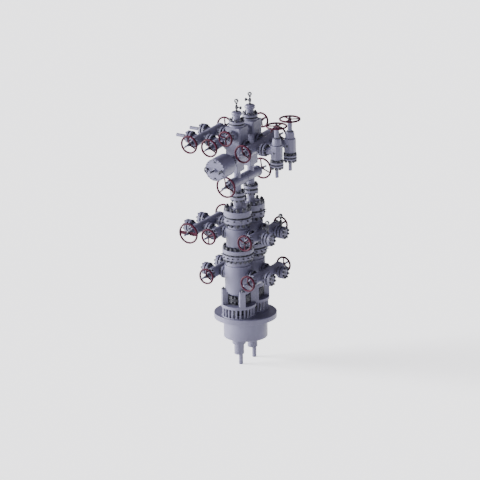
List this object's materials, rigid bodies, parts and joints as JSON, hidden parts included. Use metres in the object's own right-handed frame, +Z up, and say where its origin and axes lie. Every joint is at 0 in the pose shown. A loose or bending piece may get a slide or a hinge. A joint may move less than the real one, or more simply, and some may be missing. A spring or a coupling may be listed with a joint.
{
  "type": "twin gas wellhead valve stack",
  "caption": "Twin gas wellhead: two mirrored valve trees on casing and tubing heads, with chokes, actuators and red handwheels, on one round base plate.",
  "frame": {"origin": "centre of the base plate's underside, midway between the two wells", "axes": "+Z up the stacks, +X along the wings towards the chokes, +Y from the front well to the rear well"},
  "size_m": [2.641, 2.712, 5.789],
  "materials": {
    "body_paint": "satin lilac-grey paint",
    "wheel_paint": "satin dark red paint",
    "dark_steel": "blackened steel",
    "plated_steel": "satin plated steel",
    "dial": "matt white dial",
    "glass": "clear"
  },
  "bodies": {
    "stack": {"base_plate": "body_paint", "conductor": "body_paint", "front_casing_strings": "body_paint", "front_jack_posts": "body_paint", "front_support_cage": "body_paint", "front_casing_head": "body_paint", "front_tubing_head": "body_paint", "front_head_adapter": "body_paint", "front_master_valve": "body_paint", "front_tree_block": "body_paint", "front_tree_cap": "body_paint", "front_top_gauge": "plated_steel", "front_actuator": "body_paint", "front_casing_valves": "body_paint", "front_annulus_valves_left": "body_paint", "front_annulus_valve_right": "body_paint", "front_wing_valves_left": "body_paint", "front_wing_valve_right": "body_paint", "front_choke": "body_paint", "rear_casing_strings": "body_paint", "rear_jack_posts": "body_paint", "rear_support_cage": "body_paint", "rear_casing_head": "body_paint", "rear_tubing_head": "body_paint", "rear_head_adapter": "body_paint", "rear_master_valve": "body_paint", "rear_tree_block": "body_paint", "rear_tree_cap": "body_paint", "rear_top_gauge": "plated_steel", "rear_actuator": "body_paint", "rear_casing_valves": "body_paint", "rear_annulus_valves_left": "body_paint", "rear_annulus_valve_right": "body_paint", "rear_wing_valves_left": "body_paint", "rear_wing_valve_right": "body_paint", "rear_choke": "body_paint"},
    "front_swab_wheel": {"front_swab_wheel": "wheel_paint"},
    "front_master_wheel": {"front_master_wheel": "wheel_paint"},
    "front_wing_wheel_inner": {"front_wing_wheel_inner": "wheel_paint"},
    "front_wing_wheel_outer": {"front_wing_wheel_outer": "wheel_paint"},
    "front_wing_wheel_right": {"front_wing_wheel_right": "wheel_paint"},
    "front_choke_wheel": {"front_choke_wheel": "wheel_paint"},
    "front_annulus_wheel_inner": {"front_annulus_wheel_inner": "wheel_paint"},
    "front_annulus_wheel_outer": {"front_annulus_wheel_outer": "wheel_paint"},
    "front_annulus_wheel_right": {"front_annulus_wheel_right": "wheel_paint"},
    "front_casing_wheel_left": {"front_casing_wheel_left": "wheel_paint"},
    "front_casing_wheel_right": {"front_casing_wheel_right": "wheel_paint"},
    "rear_swab_wheel": {"rear_swab_wheel": "wheel_paint"},
    "rear_master_wheel": {"rear_master_wheel": "wheel_paint"},
    "rear_wing_wheel_inner": {"rear_wing_wheel_inner": "wheel_paint"},
    "rear_wing_wheel_outer": {"rear_wing_wheel_outer": "wheel_paint"},
    "rear_wing_wheel_right": {"rear_wing_wheel_right": "wheel_paint"},
    "rear_choke_wheel": {"rear_choke_wheel": "wheel_paint"},
    "rear_annulus_wheel_inner": {"rear_annulus_wheel_inner": "wheel_paint"},
    "rear_annulus_wheel_outer": {"rear_annulus_wheel_outer": "wheel_paint"},
    "rear_annulus_wheel_right": {"rear_annulus_wheel_right": "wheel_paint"},
    "rear_casing_wheel_left": {"rear_casing_wheel_left": "wheel_paint"},
    "rear_casing_wheel_right": {"rear_casing_wheel_right": "wheel_paint"}
  },
  "joints": [
    {"name": "front_swab_wheel_turn", "type": "hinge", "parent": "stack", "child": "front_swab_wheel", "pos_m": [0, -0.728, 4.081], "axis": [0, -1, 0], "continuous": true},
    {"name": "front_master_wheel_turn", "type": "hinge", "parent": "stack", "child": "front_master_wheel", "pos_m": [0, -0.728, 3.027], "axis": [0, -1, 0], "continuous": true},
    {"name": "front_wing_wheel_inner_turn", "type": "hinge", "parent": "stack", "child": "front_wing_wheel_inner", "pos_m": [-0.395, -0.728, 3.816], "axis": [0, -1, 0], "continuous": true},
    {"name": "front_wing_wheel_outer_turn", "type": "hinge", "parent": "stack", "child": "front_wing_wheel_outer", "pos_m": [-0.88, -0.728, 3.816], "axis": [0, -1, 0], "continuous": true},
    {"name": "front_wing_wheel_right_turn", "type": "hinge", "parent": "stack", "child": "front_wing_wheel_right", "pos_m": [0.416, -0.728, 3.816], "axis": [0, -1, 0], "continuous": true},
    {"name": "front_annulus_wheel_inner_turn", "type": "hinge", "parent": "stack", "child": "front_annulus_wheel_inner", "pos_m": [-0.436, -0.728, 1.872], "axis": [0, -1, 0], "continuous": true},
    {"name": "front_annulus_wheel_outer_turn", "type": "hinge", "parent": "stack", "child": "front_annulus_wheel_outer", "pos_m": [-0.921, -0.728, 1.872], "axis": [0, -1, 0], "continuous": true},
    {"name": "front_annulus_wheel_right_turn", "type": "hinge", "parent": "stack", "child": "front_annulus_wheel_right", "pos_m": [0.436, -0.728, 1.872], "axis": [0, -1, 0], "continuous": true},
    {"name": "front_casing_wheel_left_turn", "type": "hinge", "parent": "stack", "child": "front_casing_wheel_left", "pos_m": [-0.5, -0.728, 1], "axis": [0, -1, 0], "continuous": true},
    {"name": "front_casing_wheel_right_turn", "type": "hinge", "parent": "stack", "child": "front_casing_wheel_right", "pos_m": [0.5, -0.728, 1], "axis": [0, -1, 0], "continuous": true},
    {"name": "front_choke_wheel_turn", "type": "hinge", "parent": "stack", "child": "front_choke_wheel", "pos_m": [0.9585, -0.27, 4.3793], "axis": [0, 0, 1], "continuous": true},
    {"name": "rear_swab_wheel_turn", "type": "hinge", "parent": "stack", "child": "rear_swab_wheel", "pos_m": [0, 0.728, 4.081], "axis": [0, 1, 0], "continuous": true},
    {"name": "rear_master_wheel_turn", "type": "hinge", "parent": "stack", "child": "rear_master_wheel", "pos_m": [0, 0.728, 3.027], "axis": [0, 1, 0], "continuous": true},
    {"name": "rear_wing_wheel_inner_turn", "type": "hinge", "parent": "stack", "child": "rear_wing_wheel_inner", "pos_m": [-0.395, 0.728, 3.816], "axis": [0, 1, 0], "continuous": true},
    {"name": "rear_wing_wheel_outer_turn", "type": "hinge", "parent": "stack", "child": "rear_wing_wheel_outer", "pos_m": [-0.88, 0.728, 3.816], "axis": [0, 1, 0], "continuous": true},
    {"name": "rear_wing_wheel_right_turn", "type": "hinge", "parent": "stack", "child": "rear_wing_wheel_right", "pos_m": [0.416, 0.728, 3.816], "axis": [0, 1, 0], "continuous": true},
    {"name": "rear_annulus_wheel_inner_turn", "type": "hinge", "parent": "stack", "child": "rear_annulus_wheel_inner", "pos_m": [-0.436, 0.728, 1.872], "axis": [0, 1, 0], "continuous": true},
    {"name": "rear_annulus_wheel_outer_turn", "type": "hinge", "parent": "stack", "child": "rear_annulus_wheel_outer", "pos_m": [-0.921, 0.728, 1.872], "axis": [0, 1, 0], "continuous": true},
    {"name": "rear_annulus_wheel_right_turn", "type": "hinge", "parent": "stack", "child": "rear_annulus_wheel_right", "pos_m": [0.436, 0.728, 1.872], "axis": [0, 1, 0], "continuous": true},
    {"name": "rear_casing_wheel_left_turn", "type": "hinge", "parent": "stack", "child": "rear_casing_wheel_left", "pos_m": [-0.5, 0.728, 1], "axis": [0, 1, 0], "continuous": true},
    {"name": "rear_casing_wheel_right_turn", "type": "hinge", "parent": "stack", "child": "rear_casing_wheel_right", "pos_m": [0.5, 0.728, 1], "axis": [0, 1, 0], "continuous": true},
    {"name": "rear_choke_wheel_turn", "type": "hinge", "parent": "stack", "child": "rear_choke_wheel", "pos_m": [0.9585, 0.27, 4.3793], "axis": [0, 0, 1], "continuous": true}
  ]
}
